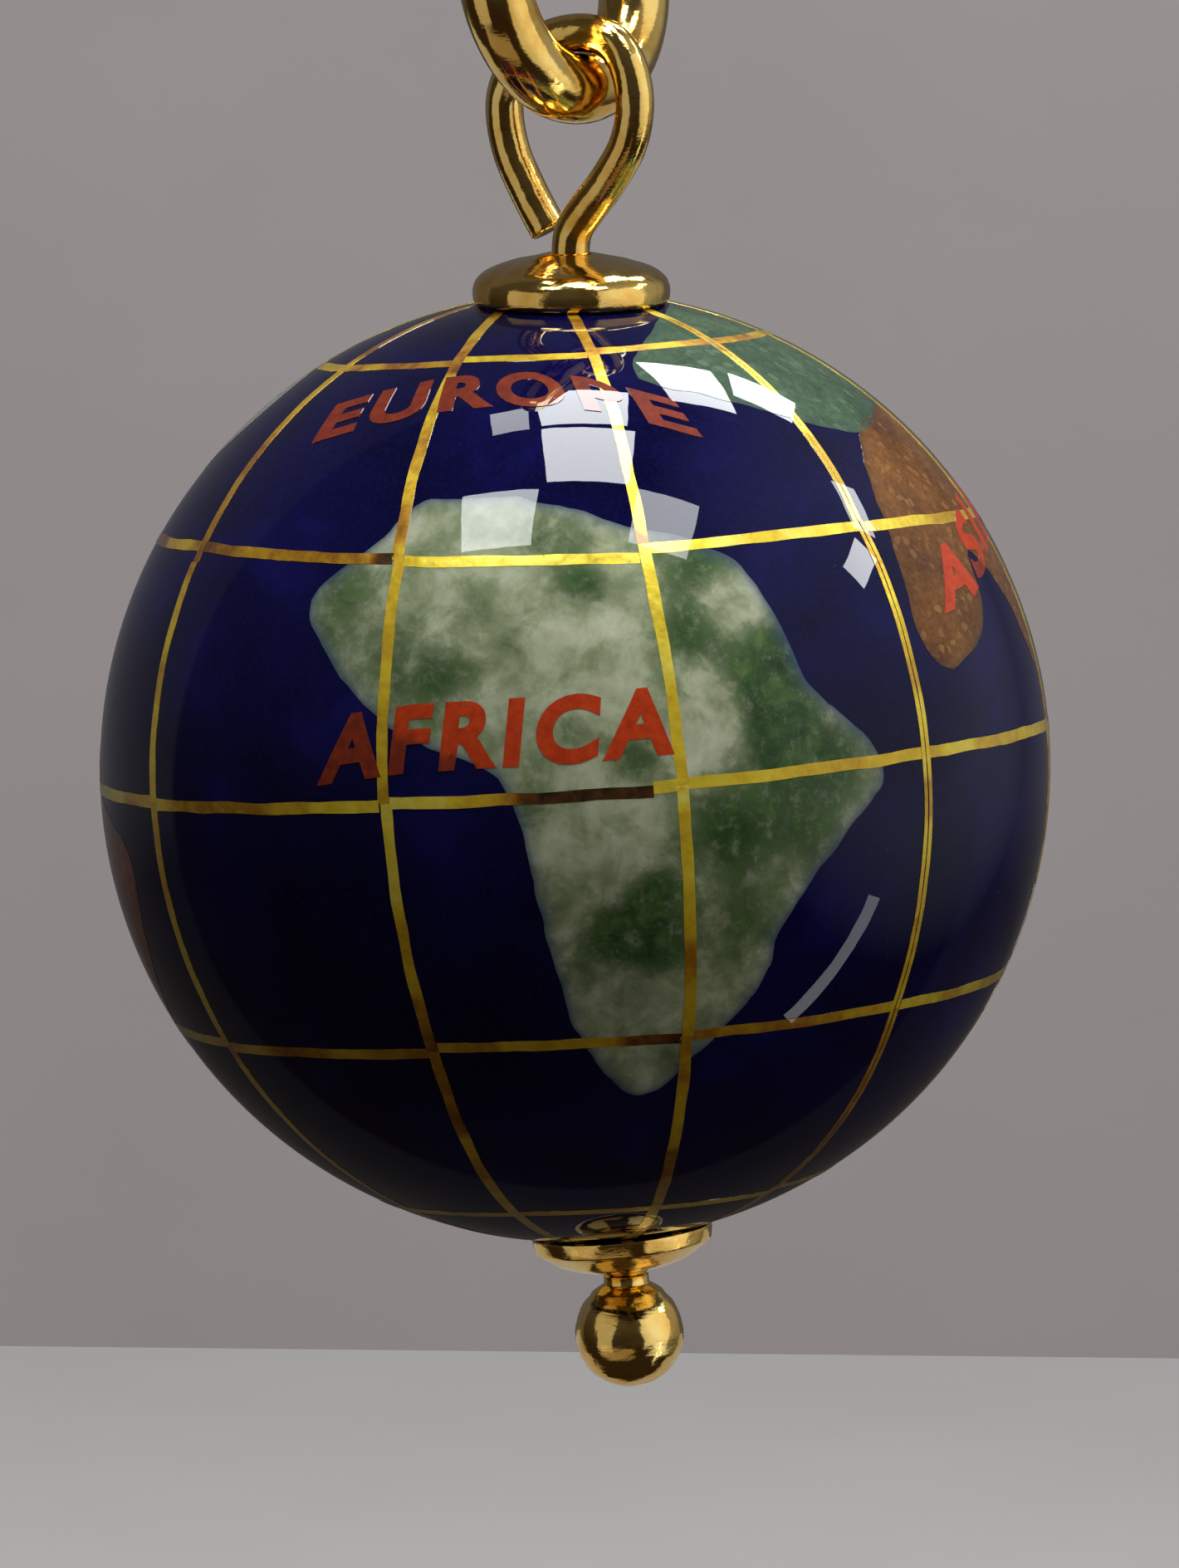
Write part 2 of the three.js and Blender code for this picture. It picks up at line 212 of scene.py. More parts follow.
# Cloudy places in the africa plate: place, size in mm, and how green it is, or below 0 how pale
JADE_CLOUDS = [
    ((27, 25), 1.3, 1.1), ((19, 20), 0.8, 0.8), ((12, 29), 1.4, 1.2), ((5, 31), 1.2, 0.9),
    ((3, 39), 1.2, 0.7), ((17, 33), 0.9, 0.6), ((-4, 23), 1.2, 1.0), ((-5, 33), 1.2, 0.7),
    ((-9, 14), 0.8, 0.9), ((-15, 10), 1.1, 1.1), ((-17, 14), 1.0, 0.8), ((-20, 5), 0.8, 0.5),
    ((-16, 26), 1.3, 0.55), ((0, 1), 0.9, 0.5), ((6, 13), 0.8, 0.7), ((10, 6), 0.7, 0.5),
    ((17, -8), 1.0, 0.65), ((17, -14), 1.2, 0.6), ((27, -23), 1.3, 0.55), ((18, -24), 1.0, 0.4),
    ((27, 8), 0.6, 0.8), ((25, 10), 0.5, 0.5), ((22, 1), 0.6, 0.5), ((33, 5), 1.0, 0.55),
    ((24, 28), 0.9, -0.9), ((10, 20), 1.0, -0.6), ((10, 25), 0.8, -0.5), ((-5, 8), 1.4, -0.7),
    ((-22, 10), 1.0, -0.9), ((18, 8), 1.4, -0.5), ((22, -6), 1.3, -0.3), ((-34, 11), 1.0, -0.5),
]
# A word on the ball: its baseline as places, its height and its slant in degrees, and its stone
LABELS = {
    "label_africa": (
        "AFRICA",
        [(4.2, -25.8), (5.4, -14), (5.5, -4), (5.4, 4), (5.6, 17.4)],
        8.1, 1.2, "africa",
    ),
    "label_europe": (
        "EUROPE",
        [
            (47.9, -41.5), (50.3, -31), (52.4, -18), (53.0, -5), (52.4, 5), (50.8, 15), (47.6, 24.5),
            (45.0, 31.5),
        ],
        6.8, -1.5, "europe",
    ),
    "label_asia": (
        "ASIA",
        [(17.9, 60.5), (18.9, 68.5), (21.7, 75.4), (25, 85), (27, 96)],
        7.8, 1.0, "asia",
    ),
}


# -------------------------------- frames

joints = {joint["name"]: joint for joint in frame["joints"]}
pin_axis = Vector(joints["globe_spin"]["axis"]).normalized()
pin_origin = Vector(joints["globe_spin"]["pos_m"]) / MM
cap_axis = {
    name: Vector(joints[name + "_spin"]["axis"]).normalized() for name in ("top_cap", "bottom_cap")
}
ball_middle = Vector(joints["top_cap_spin"]["pos_m"]) / MM - cap_axis["top_cap"] * CAP_HOLE_HEIGHT


def frame_along(origin, up):
    """A frame in millimetres with Z along `up` and Y as near the world's Y as it can be."""
    side = Vector((0, 1, 0)).cross(up).normalized()
    turn = Matrix((side, up.cross(side), up)).transposed()
    return Matrix.Translation(origin) @ turn.to_4x4()


pin_frame = frame_along(pin_origin, pin_axis)
ball_frame = frame_along(ball_middle, pin_axis)
lean_heading = math.radians(MAP_LEAN_HEADING)
lean = Quaternion((-math.sin(lean_heading), math.cos(lean_heading), 0), math.radians(MAP_LEAN))
heading = Quaternion((0, 0, 1), math.radians(GLOBE_HEADING))
map_frame = ball_frame @ (lean @ heading).to_matrix().to_4x4()
link_frame = Matrix.Rotation(math.radians(-LINK_LEAN), 4, "Y")


def on_map(latitude, longitude, radius=1.0):
    """The point at a place on the map, in the map's own frame."""
    phi, lam = math.radians(latitude), math.radians(longitude)
    flat = math.cos(phi) * radius
    return Vector((flat * math.sin(lam), -flat * math.cos(lam), math.sin(phi) * radius))


# -------------------------------- meshes

def piece(name, verts, faces, place, body, slot, nodes, material, attributes=None):
    """A mesh object from points in millimetres of the frame `place`, riding on a body."""
    mesh = bpy.data.meshes.new(name)
    mesh.from_pydata([tuple(place @ Vector(v) * MM) for v in verts], [], faces)
    mesh.update()
    for key, values in (attributes or {}).items():
        attribute = mesh.attributes.new(key, "FLOAT", "POINT")
        attribute.data.foreach_set("value", np.asarray(values, np.float32))
    mesh.materials.append(material)
    mesh.polygons.foreach_set("use_smooth", [True] * len(mesh.polygons))
    obj = bpy.data.objects.new(name, mesh)
    scene_objects.link(obj)
    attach(obj, body)
    if nodes:
        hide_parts(*nodes)
    return obj


def round_like_the_ball(obj):
    """Gives a piece of the ball the ball's own normals, so that reflections run across it."""
    mesh = obj.data
    points = np.array([v.co for v in mesh.vertices]) - np.array(ball_middle * MM)
    outward = points / np.linalg.norm(points, axis=1)[:, None]
    normals = np.zeros((len(mesh.loops), 3))
    for face in mesh.polygons:
        looks_in = face.normal.dot(Vector(outward[face.vertices[0]])) < -0.5
        for corner in face.loop_indices:
            normals[corner] = outward[mesh.loops[corner].vertex_index] * (-1 if looks_in else 1)
    mesh.normals_split_custom_set(normals.tolist())


def slab(tops, faces, top, bottom):
    """A closed shell on the ball from unit directions and faces that look outwards."""
    count = len(tops)
    verts = [Vector(t) * top for t in tops] + [Vector(t) * bottom for t in tops]
    shell = [tuple(face) for face in faces]
    shell += [tuple(i + count for i in reversed(face)) for face in faces]
    directed = {(face[i], face[(i + 1) % len(face)]) for face in faces for i in range(len(face))}
    for a, b in directed:
        if (b, a) not in directed:
            shell.append((b, a, a + count, b + count))
    return verts, shell


def bands(pairs, sides):
    """Faces between pairs of rings, with triangles where a ring is one point over and over."""
    faces = []
    for low, high in pairs:
        for k in range(sides):
            j = (k + 1) % sides
            faces.append(tuple(dict.fromkeys([low[k], low[j], high[j], high[k]])))
    return faces


def turned(profile, sides):
    """Rings round Z from a profile of (radius, height), closed on itself or from axis to axis."""
    on_axis = profile[0][0] == 0
    verts, rings = [], []
    for radius, height in profile:
        if radius == 0:
            rings.append([len(verts)] * sides)
            verts.append((0, 0, height))
            continue
        rings.append(list(range(len(verts), len(verts) + sides)))
        for k in range(sides):
            angle = 2 * math.pi * k / sides
            verts.append((radius * math.cos(angle), radius * math.sin(angle), height))
    pairs = list(zip(rings, rings[1:])) + ([] if on_axis else [(rings[-1], rings[0])])
    return verts, bands(pairs, sides)


def smooth_line(points, step, closed=False):
    """Points a step apart on a smooth curve through the given ones."""
    points = [Vector(p) for p in points]
    count = len(points)
    out = []
    for i in range(count if closed else count - 1):
        if closed:
            a, b, c, d = (points[(i + k) % count] for k in (-1, 0, 1, 2))
        else:
            b, c = points[i], points[i + 1]
            a = points[i - 1] if i else b * 2 - c
            d = points[i + 2] if i + 2 < count else c * 2 - b
        pieces = max(1, math.ceil((c - b).length / step))
        for k in range(pieces):
            t = k / pieces
            out.append(
                0.5 * (2 * b + (c - a) * t + (2 * a - 5 * b + 4 * c - d) * t**2
                       + (3 * b - 3 * c + d - a) * t**3)
            )
    if not closed:
        out.append(points[-1].copy())
    return out


def swept(points, radii, sides, closed=False):
    """A wire along points, each with its own radius; a radius of 0 closes it to a tip."""
    points = [Vector(p) for p in points]
    count = len(points)
    verts, rings = [], []
    across = None
    for i, here in enumerate(points):
        if closed:
            along = points[(i + 1) % count] - points[i - 1]
        else:
            along = points[min(i + 1, count - 1)] - points[max(i - 1, 0)]
        along.normalize()
        if across is None:
            across = Vector((0, 1, 0)) if abs(along.y) < 0.9 else Vector((1, 0, 0))
        across = (across - along * across.dot(along)).normalized()
        other = along.cross(across)
        if radii[i] == 0:
            rings.append([len(verts)] * sides)
            verts.append(here)
            continue
        rings.append(list(range(len(verts), len(verts) + sides)))
        for k in range(sides):
            angle = 2 * math.pi * k / sides
            verts.append(here + (across * math.cos(angle) + other * math.sin(angle)) * radii[i])
    pairs = list(zip(rings, rings[1:])) + ([(rings[-1], rings[0])] if closed else [])
    return verts, bands(pairs, sides)


# -------------------------------- materials

def feed(tree, value, target):
    """Links a socket to a node's input, or sets the input to a number or a colour."""
    if isinstance(value, bpy.types.NodeSocket):
        tree.links.new(value, target)
    else:
        target.default_value = value if isinstance(value, (int, float)) else (*value, 1)


class Shader:
    """A material under construction: a Principled shader and short ways to add nodes to it."""

    def __init__(self, name, **settings):
        self.material = bpy.data.materials.new(name)
        self.material.use_nodes = True
        self.tree = self.material.node_tree
        self.surface = self.tree.nodes["Principled BSDF"]
        for key, value in settings.items():
            socket = key.replace("_", " ").title().replace("Ior", "IOR")
            self.surface.inputs[socket].default_value = value
        place = self.tree.nodes.new("ShaderNodeTexCoord")
        scale = self.node("ShaderNodeVectorMath", operation="SCALE")
        self.link(place.outputs["Object"], scale.inputs[0])
        scale.inputs["Scale"].default_value = 1 / MM
        self.place = scale.outputs[0]

    def node(self, kind, **settings):
        made = self.tree.nodes.new(kind)
        for key, value in settings.items():
            setattr(made, key, value)
        return made

    def link(self, output, target):
        self.tree.links.new(output, target)

    def stretch(self, factors):
        made = self.node("ShaderNodeVectorMath", operation="MULTIPLY")
        self.link(self.place, made.inputs[0])
        made.inputs[1].default_value = factors
        return made.outputs[0]

    def noise(self, scale, detail=3.0, rough=0.55, distortion=0.0, vector=None):
        """Noise with `scale` features to the millimetre."""
        made = self.node("ShaderNodeTexNoise")
        self.link(vector or self.place, made.inputs["Vector"])
        made.inputs["Scale"].default_value = scale
        made.inputs["Detail"].default_value = detail
        made.inputs["Roughness"].default_value = rough
        made.inputs["Distortion"].default_value = distortion
        return made.outputs["Fac"]

    def cells(self, scale):
        made = self.node("ShaderNodeTexVoronoi")
        self.link(self.place, made.inputs["Vector"])
        made.inputs["Scale"].default_value = scale
        return made.outputs

    def attribute(self, name):
        made = self.node("ShaderNodeAttribute", attribute_name=name)
        return made.outputs["Fac"]

    def ramp(self, value, stops):
        made = self.node("ShaderNodeValToRGB")
        elements = made.color_ramp.elements
        while len(elements) < len(stops):
            elements.new(0.5)
        for element, (position, colour) in zip(elements, stops):
            element.position = position
            grey = isinstance(colour, (int, float))
            element.color = (colour, colour, colour, 1) if grey else (*colour, 1)
        self.link(value, made.inputs["Fac"])
        return made.outputs["Color"]

    def mix(self, share, a, b, blend="MIX"):
        made = self.node("ShaderNodeMix", data_type="RGBA", blend_type=blend)
        for value, target in ((share, made.inputs[0]), (a, made.inputs[6]), (b, made.inputs[7])):
            feed(self.tree, value, target)
        return made.outputs[2]

    def maths(self, operation, a, b):
        made = self.node("ShaderNodeMath", operation=operation)
        feed(self.tree, a, made.inputs[0])
        feed(self.tree, b, made.inputs[1])
        return made.outputs[0]

    def set(self, socket, output):
        self.link(output, self.surface.inputs[socket])

    def bump(self, height, strength, distance, socket="Normal"):
        made = self.node("ShaderNodeBump")
        made.inputs["Strength"].default_value = strength
        made.inputs["Distance"].default_value = distance * MM
        self.link(height, made.inputs["Height"])
        self.set(socket, made.outputs["Normal"])

    def coat_waves(self):
        """The slight waves that polishing leaves in a clear coat."""
        self.bump(self.noise(0.5, 2), 0.25, 0.02, "Coat Normal")


CLEAR_COAT = {"coat_weight": 1.0, "coat_roughness": 0.012, "coat_ior": 1.43}


def polished_gold(name, wear):
    s = Shader(name, metallic=1.0)
    tone = s.noise(0.9, 4, 0.6)
    s.set("Base Color", s.ramp(tone, [(0.3, (0.80, 0.45, 0.09)), (0.5, (0.92, 0.62, 0.17)),
                                      (0.72, (0.97, 0.73, 0.27))]))
    smudge = s.noise(1.7, 5, 0.65)
    s.set("Roughness", s.ramp(smudge, [(0.35, 0.07), (0.6, 0.13), (0.8, 0.24)]))
    dents = s.noise(1.1, 2, 0.5, 0.3)
    scratches = s.noise(5.0, 3, 0.6, vector=s.stretch((0.25, 1.0, 2.6)))
    height = s.mix(0.16, dents, scratches)
    s.bump(height, 0.5 * wear, 0.09)
    return s.material


def strip_metal():
    s = Shader("strip_metal", metallic=0.45, **CLEAR_COAT)
    # The shade attribute holds the foil's own colour with painted highlight and painted shade in it,
    # made into colour below
    shade = s.attribute("shade")
    grain = s.noise(2.6, 4, 0.6)
    level = s.mix(0.3, shade, grain)
    s.set("Base Color", s.ramp(level, [
        (0.12, (0.020, 0.013, 0.005)), (0.25, (0.20, 0.065, 0.006)), (0.36, (0.46, 0.20, 0.010)),
        (0.50, (0.74, 0.46, 0.018)), (0.64, (0.92, 0.67, 0.030)), (0.85, (1.0, 0.86, 0.13)),
    ]))
    s.set("Roughness", s.ramp(s.noise(4.0, 3), [(0.3, 0.26), (0.7, 0.48)]))
    s.bump(s.noise(2.2, 2, 0.5), 0.3, 0.08)
    return s.material


def ocean_blue():
    s = Shader("ocean_blue", roughness=0.5, specular_ior_level=0.0, **CLEAR_COAT)
    cloud = s.noise(0.22, 4, 0.6, 0.4)
    deep = s.ramp(cloud, [(0.3, (0.0011, 0.0010, 0.016)), (0.55, (0.0026, 0.0024, 0.040)),
                          (0.75, (0.0062, 0.0056, 0.092))])
    grain = s.noise(9.0, 3, 0.7)
    grained = s.mix(s.ramp(grain, [(0.45, 0.0), (0.75, 0.4)]), deep, (0.009, 0.008, 0.090))
    specks = s.cells(2.4)
    dust = s.ramp(specks["Distance"], [(0.0, 1.0), (0.035, 0.55), (0.06, 0.0)])
    rare = s.ramp(specks["Color"], [(0.86, 0.0), (0.93, 1.0)])
    s.set("Base Color", s.mix(s.mix(1.0, dust, rare, "MULTIPLY"), grained, (0.20, 0.22, 0.36)))
    s.coat_waves()
    return s.material


def jade_green():
    s = Shader("jade_green", roughness=0.45, specular_ior_level=0.06, **CLEAR_COAT)
    cloud = s.noise(0.75, 5, 0.62, 0.25)
    veins = s.noise(1.6, 5, 0.66, 0.5)
    greenness = s.attribute("green")
    lightness = s.maths("SUBTRACT", cloud, s.maths("MULTIPLY", greenness, 0.16))
    pale = s.ramp(lightness, [(0.28, (0.115, 0.150, 0.070)), (0.44, (0.235, 0.275, 0.150)),
                              (0.58, (0.400, 0.430, 0.280)), (0.74, (0.560, 0.580, 0.430))])
    green = s.ramp(veins, [(0.3, (0.010, 0.030, 0.008)), (0.5, (0.030, 0.075, 0.020)),
                           (0.7, (0.085, 0.150, 0.045))])
    drift = s.maths("ADD", greenness, s.maths("MULTIPLY", s.maths("SUBTRACT", veins, 0.5), 1.6))
    stone = s.mix(s.ramp(drift, [(0.20, 0.0), (0.45, 0.45), (0.85, 0.96)]), pale, green)
    milky = s.noise(2.8, 4, 0.7)
    stone = s.mix(s.ramp(milky, [(0.54, 0.0), (0.78, 0.30)]), stone, (0.50, 0.52, 0.42))
    at_edge = s.ramp(s.attribute("edge"), [(0.0, 0.85), (0.16, 0.35), (0.45, 0.0)])
    s.set("Base Color", s.mix(at_edge, stone, (0.035, 0.065, 0.130)))
    s.coat_waves()
    return s.material


def granular_stone(name, stops, grain_scale, edge_colour, fleck=None):
    s = Shader(name, roughness=0.5, specular_ior_level=0.06, **CLEAR_COAT)
    cloud = s.noise(0.6, 5, 0.62, 0.4)
    grain = s.noise(grain_scale, 4, 0.75)
    tone = s.mix(0.45, cloud, grain)
    stone = s.ramp(tone, stops)
    if fleck:
        cells = s.cells(grain_scale * 0.8)
        share = s.ramp(cells["Color"], [(0.72, 0.0), (0.9, 0.55)])
        stone = s.mix(share, stone, fleck)
    at_edge = s.ramp(s.attribute("edge"), [(0.0, 0.5), (0.2, 0.15), (0.5, 0.0)])
    s.set("Base Color", s.mix(at_edge, stone, edge_colour))
    s.coat_waves()
    return s.material


def label_ink():
    s = Shader("label_ink", roughness=0.5, specular_ior_level=0.06, **CLEAR_COAT)
    wear = s.noise(3.4, 4, 0.7)
    strong = s.ramp(wear, [(0.3, (0.38, 0.028, 0.005)), (0.7, (0.56, 0.058, 0.010))])
    faint = s.ramp(wear, [(0.3, (0.13, 0.016, 0.008)), (0.7, (0.26, 0.034, 0.010))])
    s.set("Base Color", s.mix(s.attribute("over_stone"), faint, strong))
    return s.material


def core_filler():
    s = Shader("core_filler", roughness=0.85)
    cloud = s.noise(1.2, 5, 0.65)
    s.set("Base Color", s.ramp(cloud, [(0.3, (0.20, 0.19, 0.17)), (0.7, (0.34, 0.33, 0.30))]))
    s.bump(s.noise(4.0, 4, 0.7), 0.5, 0.1)
    return s.material


gold = polished_gold("polished_gold", 0.55)
worn_gold = polished_gold("worn_gold", 1.0)
strips = strip_metal()
stones = {
    "africa": jade_green(),
    "europe": granular_stone("aventurine_green", [
        (0.34, (0.018, 0.042, 0.020)), (0.5, (0.044, 0.088, 0.046)), (0.66, (0.088, 0.148, 0.080)),
    ], 5.5, (0.03, 0.06, 0.06), (0.12, 0.19, 0.11)),
    "asia": granular_stone("sandstone_brown", [
        (0.34, (0.062, 0.020, 0.003)), (0.5, (0.145, 0.052, 0.008)), (0.66, (0.245, 0.100, 0.020)),
    ], 6.5, (0.05, 0.025, 0.015), (0.34, 0.165, 0.045)),
    "australia": granular_stone("jasper_cream", [
        (0.34, (0.30, 0.21, 0.12)), (0.5, (0.47, 0.36, 0.22)), (0.66, (0.60, 0.49, 0.33)),
    ], 4.0, (0.18, 0.16, 0.16)),
    "north_america": granular_stone("howlite_grey", [
        (0.32, (0.16, 0.155, 0.14)), (0.45, (0.42, 0.40, 0.35)), (0.66, (0.60, 0.58, 0.52)),
    ], 3.0, (0.16, 0.17, 0.20)),
    "south_america": granular_stone("jasper_red", [
        (0.34, (0.105, 0.022, 0.012)), (0.5, (0.235, 0.055, 0.028)), (0.66, (0.340, 0.105, 0.055)),
    ], 4.5, (0.09, 0.04, 0.05), (0.42, 0.17, 0.09)),
}
slots = {
    "africa": "jade_green", "europe": "aventurine_green", "asia": "sandstone_brown",
    "australia": "jasper_cream", "north_america": "howlite_grey", "south_america": "jasper_red",
}


# -------------------------------- the ball

def ocean():
    """The ball's shell, bored right through beside its middle."""
    sides, steps = 128, 48
    verts = []

    def half(radius, side):
        rings = []
        first = math.asin(BORE_RADIUS / radius)
        for i in range(steps + 1):
            ring_radius = radius * math.sin(first + (math.pi / 2 - first) * i / steps)
            shift = BORE_OFFSET * (radius - ring_radius) / (radius - BORE_RADIUS)
            rings.append(list(range(len(verts), len(verts) + sides)))
            for k in range(sides):
                angle = 2 * math.pi * k / sides
                x, y = shift + ring_radius * math.cos(angle), ring_radius * math.sin(angle)
                verts.append((x, y, side * math.sqrt(max(radius**2 - x**2 - y**2, 0))))
        return rings

    def surface(radius):
        upper, lower = half(radius, 1), half(radius, -1)
        return lower + upper[-2::-1]  # the two halves share the lower one's equator

    outer, inner = surface(OCEAN_TOP), surface(GLOBE_RADIUS - INLAY_DEPTH)
    rings = outer + inner[::-1]
    faces = bands(zip(rings, rings[1:] + rings[:1]), sides)
    used = sorted({i for face in faces for i in face})
    renumbered = {old: new for new, old in enumerate(used)}
    verts = [verts[i] for i in used]
    faces = [tuple(renumbered[i] for i in face) for face in faces]
    obj = piece("ocean", verts, faces, ball_frame, "globe", "ocean_blue", ["ocean_shell"], ocean_blue())
    round_like_the_ball(obj)


def flattened(name):
    """Ways to and from a flat map round the middle of a plate that keeps distances from it."""
    rays = [on_map(*place) for place in COASTLINES[name]]
    middle = sum(rays, Vector()).normalized()
    east = Vector((0, 0, 1)).cross(middle).normalized()
    north = middle.cross(east)

    def to_flat(ray):
        angle = ray.angle(middle)
        flat = Vector((ray.dot(east), ray.dot(north)))
        return flat.normalized() * angle * GLOBE_RADIUS if flat.length else flat

    def from_flat(point):
        angle = point.length / GLOBE_RADIUS
        if not angle:
            return middle.copy()
        across = (east * point.x + north * point.y).normalized()
        return middle * math.cos(angle) + across * math.sin(angle)

    return to_flat, from_flat


def coast_of(name, to_flat):
    """The plate's outline on its flat map, smooth, and a little uneven as if cut by hand."""
    rays = [on_map(*place, GLOBE_RADIUS) for place in COASTLINES[name]]
    uneven = []
    for ray in smooth_line(rays, COAST_STEP, closed=True):
        swayed = ray + noise.noise_vector(ray * 1.3) * COAST_SWAY
        uneven.append(swayed + noise.noise_vector(ray * 4.0) * COAST_NICKS)
    return [to_flat(ray.normalized()) for ray in uneven]


def distance_to(line, points):
    """Each point's distance to a closed line, both as arrays."""
    a, b = line, np.roll(line, -1, axis=0)
    along = b - a
    reach = points[:, None, :] - a[None]
    t = np.clip((reach * along).sum(2) / (along**2).sum(1), 0, 1)
    return np.linalg.norm(reach - t[..., None] * along, axis=2).min(1)


def inside(line, point):
    """Whether a point is inside a closed line."""
    found = False
    for (x1, y1), (x2, y2) in zip(line, line[1:] + line[:1]):
        straddles = (y1 > point[1]) != (y2 > point[1])
        if straddles and point[0] < (x2 - x1) * (point[1] - y1) / (y2 - y1) + x1:
            found = not found
    return found


def grid_within(coast):
    """Points in staggered rows inside a coast, none of them close to it."""
    outline = np.array(coast)
    low, high = outline.min(0), outline.max(0)
    pitch, row_pitch = PLATE_PITCH, PLATE_PITCH * 0.866
    grid = []
    for row in range(int((high[1] - low[1]) / row_pitch) + 1):
        for column in range(int((high[0] - low[0]) / pitch) + 1):
            grid.append((low[0] + (column + 0.5 * (row % 2)) * pitch, low[1] + row * row_pitch))
    grid = np.array(grid)
    grid = grid[distance_to(outline, grid) > 0.45 * pitch]
    return [Vector(p) for p in grid if inside([tuple(c) for c in coast], p)]


def jade_greenness(rays):
    """How green the jade is along each unit direction, from its clouds."""
    green = np.zeros(len(rays))
    for place, size, amount in JADE_CLOUDS:
        cloud = on_map(*place)
        for i, ray in enumerate(rays):
            green[i] += amount * math.exp(-((ray - cloud).length * GLOBE_RADIUS / size) ** 2)
    return np.clip(green, 0, 1.2)


def land(name):
    """A plate of stone let into the ocean, with how near its edge each point is."""
    to_flat, from_flat = flattened(name)
    coast = coast_of(name, to_flat)
    grid = grid_within(coast)
    count = len(coast)
    edges = [(i, (i + 1) % count) for i in range(count)]
    points, _, triangles, *_ = delaunay_2d_cdt(coast + grid, edges, [], 1, 1e-5)
    rays = [from_flat(Vector(p)) for p in points]
    wound = []
    for a, b, c in triangles:
        looks_out = (points[b] - points[a]).cross(points[c] - points[a]) > 0
        wound.append((a, b, c) if looks_out else (a, c, b))
    verts, faces = slab(rays, wound, PLATE_TOP, PLATE_TOP - PLATE_THICKNESS)
    edge = np.clip(distance_to(np.array(coast), np.array([tuple(p) for p in points])), 0, 1)
    attributes = {"edge": np.tile(edge, 2)}
    if name == "africa":
        attributes["green"] = np.tile(jade_greenness(rays), 2)
    obj = piece(name + "_plate", verts, faces, map_frame, "globe", slots[name], [name + "_inlay"],
                stones[name], attributes)
    round_like_the_ball(obj)


def foil(rays, width, verts, faces, shades, shade):
    """Adds one bar of strip metal along unit directions to a mesh being gathered."""
    first = len(verts)
    for i, ray in enumerate(rays):
        along = rays[min(i + 1, len(rays) - 1)] - rays[max(i - 1, 0)]
        side = along.cross(ray).normalized()
        here = ray * GLOBE_RADIUS
        half = 0.5 * width * (1 + STRIP_WIDTH_CHANGE * noise.noise(here * 1.7)) / GLOBE_RADIUS
        sway = side * noise.noise(here * 0.9 + Vector((9, 0, 0))) * STRIP_SWAY / GLOBE_RADIUS
        low = STRIP_TOP - FOIL_THICKNESS
        for top, reach in ((STRIP_TOP, -half), (STRIP_TOP, half), (low, half), (low, -half)):
            verts.append((ray + sway + side * reach).normalized() * top)
            shades.append(shade(i / (len(rays) - 1)))
    for i in range(len(rays) - 1):
        a = first + 4 * i
        for k in range(4):
            j = (k + 1) % 4
            faces.append((a + k, a + j, a + j + 4, a + k + 4))
    last = first + 4 * (len(rays) - 1)
    faces.append((first + 3, first + 2, first + 1, first))
    faces.append((last, last + 1, last + 2, last + 3))


def broken_shade(rng, tone):
    """A brightness that changes in short lengths: painted reflection, as of foil that doesn't lie quite
    flat and catches the light unevenly.
    """
    count = 7
    levels = []
    for k in range(count):
        level = tone[0] + (tone[1] - tone[0]) * k / (count - 1)
        levels.append(min(1.0, level + rng.uniform(-STRIP_PAINTED_SHEEN_CHANGE, STRIP_PAINTED_SHEEN_CHANGE)))

    def shade(t):
        position = t * (count - 1)
        low = min(int(position), count - 2)
        share = min(1.0, max(0.0, (position - low - 0.4) / 0.2))
        return levels[low] * (1 - share) + levels[low + 1] * share

    return shade


def blackened(shade):
    """A brightness with its last part black, where the foil has tarnished."""

    def darker(t):
        share = min(1.0, max(0.0, (t - 0.40) / 0.15))
        return shade(t) * (1 - share) + 0.02 * share

    return darker


def bore_exit_gap(ray):
    """How far a point on the ball is from the bore's axis."""
    here = map_frame @ (ray * GLOBE_RADIUS) - pin_origin
    return (here - pin_axis * here.dot(pin_axis)).length


def meridian(index, rng):
    """A strip from pole to pole, in lengths that end at the crossings."""
    longitude = MERIDIANS[index]
    bends = MERIDIAN_BENDS.get(index, STRAIGHT)
    verts, faces, shades = [], [], []
    doubled = index in DOUBLED_MERIDIANS
    for i in range(len(CROSSINGS) - 1):
        north, south = CROSSINGS[i], CROSSINGS[i + 1]
        steps = max(6, round((north - south) / STRIP_STEP))
        start = bends[i] + rng.uniform(-MERIDIAN_WANDER, MERIDIAN_WANDER)
        end = bends[i + 1] + rng.uniform(-MERIDIAN_WANDER, MERIDIAN_WANDER)
        shade = broken_shade(rng, FOIL_TONES_AND_PAINTED_LIGHT.get((index, i), PLAIN_TONE))
        for shift in ((-DOUBLED_OFFSET, DOUBLED_OFFSET) if doubled else (0,)):
            rays = []
            for k in range(steps + 1):
                t = k / steps
                latitude = north + (south - north) * t
                aside = shift / GLOBE_RADIUS / max(0.15, math.cos(math.radians(latitude)))
                here = on_map(latitude, longitude + start + (end - start) * t + math.degrees(aside))
                if bore_exit_gap(here) > BORE_CLEARANCE:
                    rays.append(here)
            width = DOUBLED_WIDTH if doubled else STRIP_WIDTH
            if len(rays) > 2:
                foil(rays, width, verts, faces, shades, shade)
    number = f"{index + 1:02d}"
    obj = piece("meridian_foil_" + number, verts, faces, map_frame, "globe", "strip_metal",
                ["meridian_strip_" + number], strips, {"shade": shades})
    round_like_the_ball(obj)


